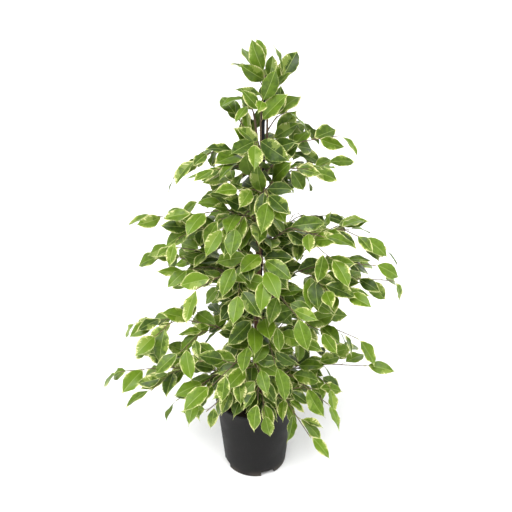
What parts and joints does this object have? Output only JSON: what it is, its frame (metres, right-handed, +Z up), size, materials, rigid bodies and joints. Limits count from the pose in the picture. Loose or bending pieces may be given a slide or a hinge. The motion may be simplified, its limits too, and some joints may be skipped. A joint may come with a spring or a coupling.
{
  "type": "potted weeping fig",
  "caption": "Potted weeping fig with cream-edged leaves on arching twigs, its slim stems tied to a straight cane, in a plain round nursery pot that stands on its base.",
  "frame": {"origin": "centre of the pot's flat base, on the floor", "axes": "+Z up along the pot's axis and the cane; -Y is the side that the picture shows, and +X is to the right there"},
  "size_m": [0.762, 0.5789, 1.0599],
  "materials": {
    "pot_plastic": "matte",
    "potting_soil": "matte",
    "cane": "satin",
    "tie": "satin",
    "bark": "matte",
    "foliage": "satin"
  },
  "bodies": {
    "root": {"pot": "pot_plastic", "soil": "potting_soil", "cane": "cane", "tie_1": "tie", "tie_2": "tie", "stem_a": "bark", "stem_b": "bark", "stem_c": "bark", "leader_a": "foliage", "leader_b": "foliage", "leader_c": "foliage", "spray_01": "foliage", "spray_02": "foliage", "spray_03": "foliage", "spray_04": "foliage", "spray_05": "foliage", "spray_06": "foliage", "spray_07": "foliage", "spray_08": "foliage", "spray_09": "foliage", "spray_10": "foliage", "spray_11": "foliage", "spray_12": "foliage", "spray_13": "foliage", "spray_14": "foliage", "spray_15": "foliage", "spray_16": "foliage", "spray_17": "foliage", "spray_18": "foliage", "spray_19": "foliage", "spray_20": "foliage", "spray_21": "foliage", "spray_22": "foliage", "spray_23": "foliage", "spray_24": "foliage", "spray_25": "foliage", "spray_26": "foliage", "spray_27": "foliage", "spray_28": "foliage", "spray_29": "foliage", "spray_30": "foliage", "spray_31": "foliage", "spray_32": "foliage", "spray_33": "foliage", "spray_34": "foliage", "spray_35": "foliage", "spray_36": "foliage", "spray_37": "foliage", "spray_38": "foliage", "spray_39": "foliage", "spray_40": "foliage", "spray_41": "foliage", "spray_42": "foliage", "spray_43": "foliage", "spray_44": "foliage", "spray_45": "foliage", "spray_46": "foliage", "spray_47": "foliage", "spray_48": "foliage", "spray_49": "foliage"}
  },
  "joints": []
}
